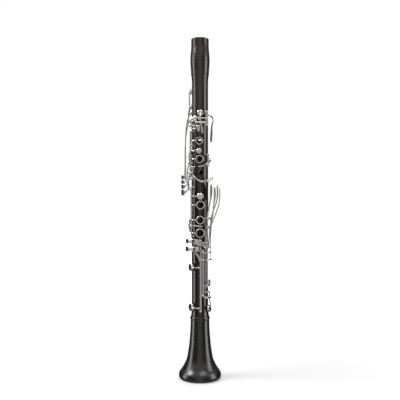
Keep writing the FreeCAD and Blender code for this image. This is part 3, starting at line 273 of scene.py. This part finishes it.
BROWN_WOOD = blackwood(
    "brown_blackwood", (0.007, 0.005, 0.0035), (0.018, 0.0125, 0.009), (0.034, 0.023, 0.016)
)
BLACK_WOOD = blackwood(
    "black_blackwood", (0.0045, 0.004, 0.0035), (0.0095, 0.0085, 0.0075), (0.018, 0.0155, 0.0135)
)
SILVER = silver_plate("silver_plate", (0.86, 0.84, 0.8), (0.74, 0.71, 0.65), 0.12, 0.24)
POST_SILVER = silver_plate("post_silver", (0.82, 0.8, 0.77), (0.68, 0.66, 0.61), 0.14, 0.28)
STEEL = turned_steel("turned_steel", (0.62, 0.61, 0.6), (0.42, 0.41, 0.4), 0.26)
BLUED = turned_steel("blued_steel", (0.1, 0.14, 0.3), (0.05, 0.06, 0.12), 0.3)
CORK = cork_material()
PAD = pad_skin()


def finish_of(name):
    """Material of a node, by what the node's name says it is."""
    if name in ("barrel", "upper_joint"):
        return BROWN_WOOD
    if name in ("lower_joint", "bell"):
        return BLACK_WOOD
    if name.endswith("cork"):
        return CORK
    if name.endswith("_pad"):
        return PAD
    if name.endswith("springs"):
        return BLUED
    if name.endswith("rods") or name.endswith("screws"):
        return STEEL
    if name.endswith("posts"):
        return POST_SILVER
    return SILVER


def dress_nodes():
    """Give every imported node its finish."""
    for name, node in nodes.items():
        node.data.materials.clear()
        node.data.materials.append(finish_of(name))
        for face in node.data.polygons:
            face.use_smooth = True


dress_nodes()


# ---------------------------------------------------------------- slotted screw heads on the hinge rods
SCREW_RADIUS = 0.0008
SCREW_STAND = 0.00008
SLOT_HALF_WIDTH = 0.00016
SCREW_SEGMENTS = 14
SCREW_SINK = 0.4 * SCREW_RADIUS
CROWN_SHARE = 0.9
WELD = 1e-6


def loose_parts(node):
    """Vertex positions of each separate solid in a node's mesh."""
    build = bmesh.new()
    build.from_mesh(node.data)
    bmesh.ops.remove_doubles(build, verts=build.verts, dist=WELD)
    waiting = set(build.verts)
    parts = []
    while waiting:
        front = [waiting.pop()]
        found = []
        while front:
            vertex = front.pop()
            found.append(vertex.co.copy())
            for edge in vertex.link_edges:
                other = edge.other_vert(vertex)
                if other in waiting:
                    waiting.remove(other)
                    front.append(other)
        parts.append(found)
    build.free()
    return parts


def rod_ends(points):
    """Middle of each end face of a straight rod."""
    centre = sum(points, Vector()) / len(points)
    spread = numpy.array([point - centre for point in points])
    along = Vector(numpy.linalg.svd(spread, full_matrices=False)[2][0])
    reach = [(point - centre).dot(along) for point in points]
    return [centre + along * min(reach), centre + along * max(reach)]


def half_head(build, side, place):
    """One of the two raised halves that leave a screwdriver slot between them."""
    opening = math.asin(SLOT_HALF_WIDTH / SCREW_RADIUS)
    outline = []
    for step in range(SCREW_SEGMENTS + 1):
        turn = opening + (math.pi - 2 * opening) * step / SCREW_SEGMENTS
        outline.append(Vector((SCREW_RADIUS * math.cos(turn), side * SCREW_RADIUS * math.sin(turn), 0)))
    low = [build.verts.new(place @ (point - Vector((0, 0, SCREW_SINK)))) for point in outline]
    high = [build.verts.new(place @ (CROWN_SHARE * point + Vector((0, 0, SCREW_STAND)))) for point in outline]
    count = len(outline)
    for step in range(count):
        after = (step + 1) % count
        build.faces.new((low[step], low[after], high[after], high[step]))
    build.faces.new(high)
    build.faces.new(low[::-1])


def add_screw_heads(name, rods, body):
    """A slotted head on both ends of every rod in a node, as one piece that rides on the rods' body."""
    build = bmesh.new()
    for points in loose_parts(nodes[rods]):
        ends = rod_ends(points)
        for end, other in (ends, ends[::-1]):
            out = (end - other).normalized()
            place = Matrix.Translation(end) @ out.to_track_quat("Z", "X").to_matrix().to_4x4()
            for side in (1, -1):
                half_head(build, side, place)
    bmesh.ops.recalc_face_normals(build, faces=build.faces)
    heads = link_new(name, build)
    heads.data.materials.append(STEEL)
    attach(heads, body)
    return heads


SCREW_HEADS = [
    add_screw_heads("upper_rod_screw_heads", "upper_hinge_rods", "upper_joint"),
    add_screw_heads("lower_rod_screw_heads", "lower_hinge_rods", "lower_joint"),
]


# ---------------------------------------------------------------- stage and lights
FLOOR_RADIUS = 9.0
WALL_RADIUS = FLOOR_RADIUS - 0.1
WALL_HEIGHT = 20.0
ROUND_SEGMENTS = 96
GLOW_FROM = 0.2
GLOW_TO = 1.1
GLOW_NEAR = 0.3
GLOW_FAR = 1.0


def floor_material():
    """Matt white sweep: near the object it takes the lights' shadows, far away it glows evenly."""
    made = Shader("floor_white")
    radius = made.node("ShaderNodeVectorMath", operation="LENGTH")
    made.link(made.place.outputs["Object"], radius.inputs[0])
    glow = made.node("ShaderNodeMapRange", interpolation_type="SMOOTHSTEP")
    glow.inputs["From Min"].default_value = GLOW_FROM
    glow.inputs["From Max"].default_value = GLOW_TO
    glow.inputs["To Min"].default_value = GLOW_NEAR
    glow.inputs["To Max"].default_value = GLOW_FAR
    made.link(radius.outputs["Value"], glow.inputs["Value"])
    made.link(glow.outputs["Result"], made.surface.inputs["Emission Strength"])
    grain = made.noise(3.0, detail=2.0, rough=0.5)
    made.colour(made.ramp(grain, [(0.3, (0.78, 0.78, 0.78)), (0.7, (0.8, 0.8, 0.8))]))
    made.fixed(Roughness=0.9, Specular_IOR_Level=0.1, Emission_Color=(*WHITE, 1))
    return made.material


def backdrop_material():
    """White that glows by itself, so no light has to reach the wall."""
    made = Shader("backdrop_white")
    cloud = made.noise(0.4, detail=1.0, rough=0.5)
    made.colour(made.ramp(cloud, [(0.3, (0.0, 0.0, 0.0)), (0.7, (0.01, 0.01, 0.01))]))
    made.fixed(Roughness=1.0, Specular_IOR_Level=0.0, Emission_Color=(*WHITE, 1), Emission_Strength=1.0)
    return made.material


def add_floor():
    """Round floor under the bell, left out of the reflections on the object."""
    build = bmesh.new()
    bmesh.ops.create_circle(build, cap_ends=True, segments=ROUND_SEGMENTS, radius=FLOOR_RADIUS)
    floor = link_new("floor", build)
    floor.location = (0, 0, LOW.z)
    floor.data.materials.append(floor_material())
    floor.visible_glossy = False


def add_backdrop():
    """White wall all round, which only the camera sees."""
    build = bmesh.new()
    radii = {"radius1": WALL_RADIUS, "radius2": WALL_RADIUS}
    bmesh.ops.create_cone(build, cap_ends=False, segments=ROUND_SEGMENTS, depth=WALL_HEIGHT, **radii)
    wall = link_new("backdrop", build)
    wall.data.materials.append(backdrop_material())
    wall.visible_diffuse = False
    wall.visible_glossy = False
    wall.visible_shadow = False


WOODEN = ("barrel", "upper_joint", "lower_joint", "bell")


def receivers(name, wooden):
    """Collection of the wooden nodes, or of all the other nodes, for one kind of light."""
    chosen = bpy.data.collections.new(name)
    for node_name, node in nodes.items():
        if (node_name in WOODEN) == wooden:
            chosen.objects.link(node)
    return chosen


SIDE_DISTANCE = 1.3
SIDE_HEIGHT = 0.33
SIDE_TALL = 1.3


def add_softbox(name, azimuth, distance, height, width, tall, radiance, target=None, only=None):
    """Rectangular area light; azimuth is measured from the front, positive to the right."""
    turn = math.radians(azimuth)
    place = Vector((distance * math.sin(turn), -distance * math.cos(turn), height))
    data = bpy.data.lights.new(name, "AREA")
    data.shape = "RECTANGLE"
    data.size = width
    data.size_y = tall
    data.energy = radiance * math.pi * width * tall
    light = bpy.data.objects.new(name, data)
    light.location = place
    aim = (target or Vector((0, 0, place.z))) - place
    light.rotation_euler = aim.to_track_quat("-Z", "Y").to_euler()
    light.light_linking.receiver_collection = only
    bpy.context.scene.collection.objects.link(light)


# grey of the room by sideways direction, and by height from straight down to straight up
WORLD_ROUND = [(0.0, 0.5), (0.3, 0.38), (0.55, 0.03), (1.0, 0.02)]
WORLD_HEIGHT = [(0.0, 0.3), (0.3, 0.22), (0.42, 0.02), (0.62, 0.02), (0.8, 0.45), (1.0, 0.6)]


def fill_ramp(ramp, greys):
    """Give a colour ramp the listed places and greys."""
    elements = ramp.color_ramp.elements
    while len(elements) < len(greys):
        elements.new(0.5)
    for element, (place, grey) in zip(elements, greys):
        element.position = place
        element.color = (grey, grey, grey, 1.0)


def add_world():
    """Dim room: pale in front, behind and overhead, dark at the four corners between the softboxes."""
    world = bpy.data.worlds.new("studio")
    world.use_nodes = True
    tree = world.node_tree
    place = tree.nodes.new("ShaderNodeTexCoord")
    split = tree.nodes.new("ShaderNodeSeparateXYZ")
    sideways = tree.nodes.new("ShaderNodeMath")
    sideways.operation = "ABSOLUTE"
    round_ramp = tree.nodes.new("ShaderNodeValToRGB")
    height_ramp = tree.nodes.new("ShaderNodeValToRGB")
    lift = tree.nodes.new("ShaderNodeMapRange")
    lift.inputs["From Min"].default_value = -1.0
    brighter = tree.nodes.new("ShaderNodeMix")
    brighter.data_type = "RGBA"
    brighter.blend_type = "LIGHTEN"
    brighter.inputs["Factor"].default_value = 1.0
    fill_ramp(round_ramp, WORLD_ROUND)
    fill_ramp(height_ramp, WORLD_HEIGHT)
    tree.links.new(place.outputs["Generated"], split.inputs["Vector"])
    tree.links.new(split.outputs["X"], sideways.inputs[0])
    tree.links.new(split.outputs["Z"], lift.inputs["Value"])
    tree.links.new(sideways.outputs["Value"], round_ramp.inputs["Fac"])
    tree.links.new(lift.outputs["Result"], height_ramp.inputs["Fac"])
    tree.links.new(round_ramp.outputs["Color"], brighter.inputs["A"])
    tree.links.new(height_ramp.outputs["Color"], brighter.inputs["B"])
    tree.links.new(brighter.outputs["Result"], tree.nodes["Background"].inputs["Color"])
    bpy.context.scene.world = world


def add_lights():
    """One pair of side lights for the wood and a dimmer pair for the metal, then the key and two fills."""
    wood_only = receivers("lit_wood", True)
    metal_only = receivers("lit_metal", False)
    for screw_heads in SCREW_HEADS:
        metal_only.objects.link(screw_heads)
    side = {"distance": SIDE_DISTANCE, "height": SIDE_HEIGHT, "tall": SIDE_TALL}
    add_softbox("left_wood_softbox", -88, width=0.5, radiance=3.0, only=wood_only, **side)
    add_softbox("right_wood_softbox", 78, width=0.6, radiance=3.0, only=wood_only, **side)
    add_softbox("left_metal_softbox", -70, width=0.8, radiance=0.75, only=metal_only, **side)
    add_softbox("right_metal_softbox", 70, width=0.7, radiance=0.85, only=metal_only, **side)
    middle = Vector((0, 0, 0.5 * HEIGHT))
    add_softbox("key_softbox", -80, SIDE_DISTANCE, 1.55, 0.8, 0.8, 9.0, middle)
    add_softbox("top_softbox", 25, 0.9, 1.7, 0.9, 0.9, 2.0, middle)
    add_softbox("back_softbox", 165, 1.5, 1.5, 0.9, 0.9, 2.5, middle)


add_floor()
add_backdrop()
add_world()
add_lights()
bpy.context.scene.view_settings.view_transform = "Standard"
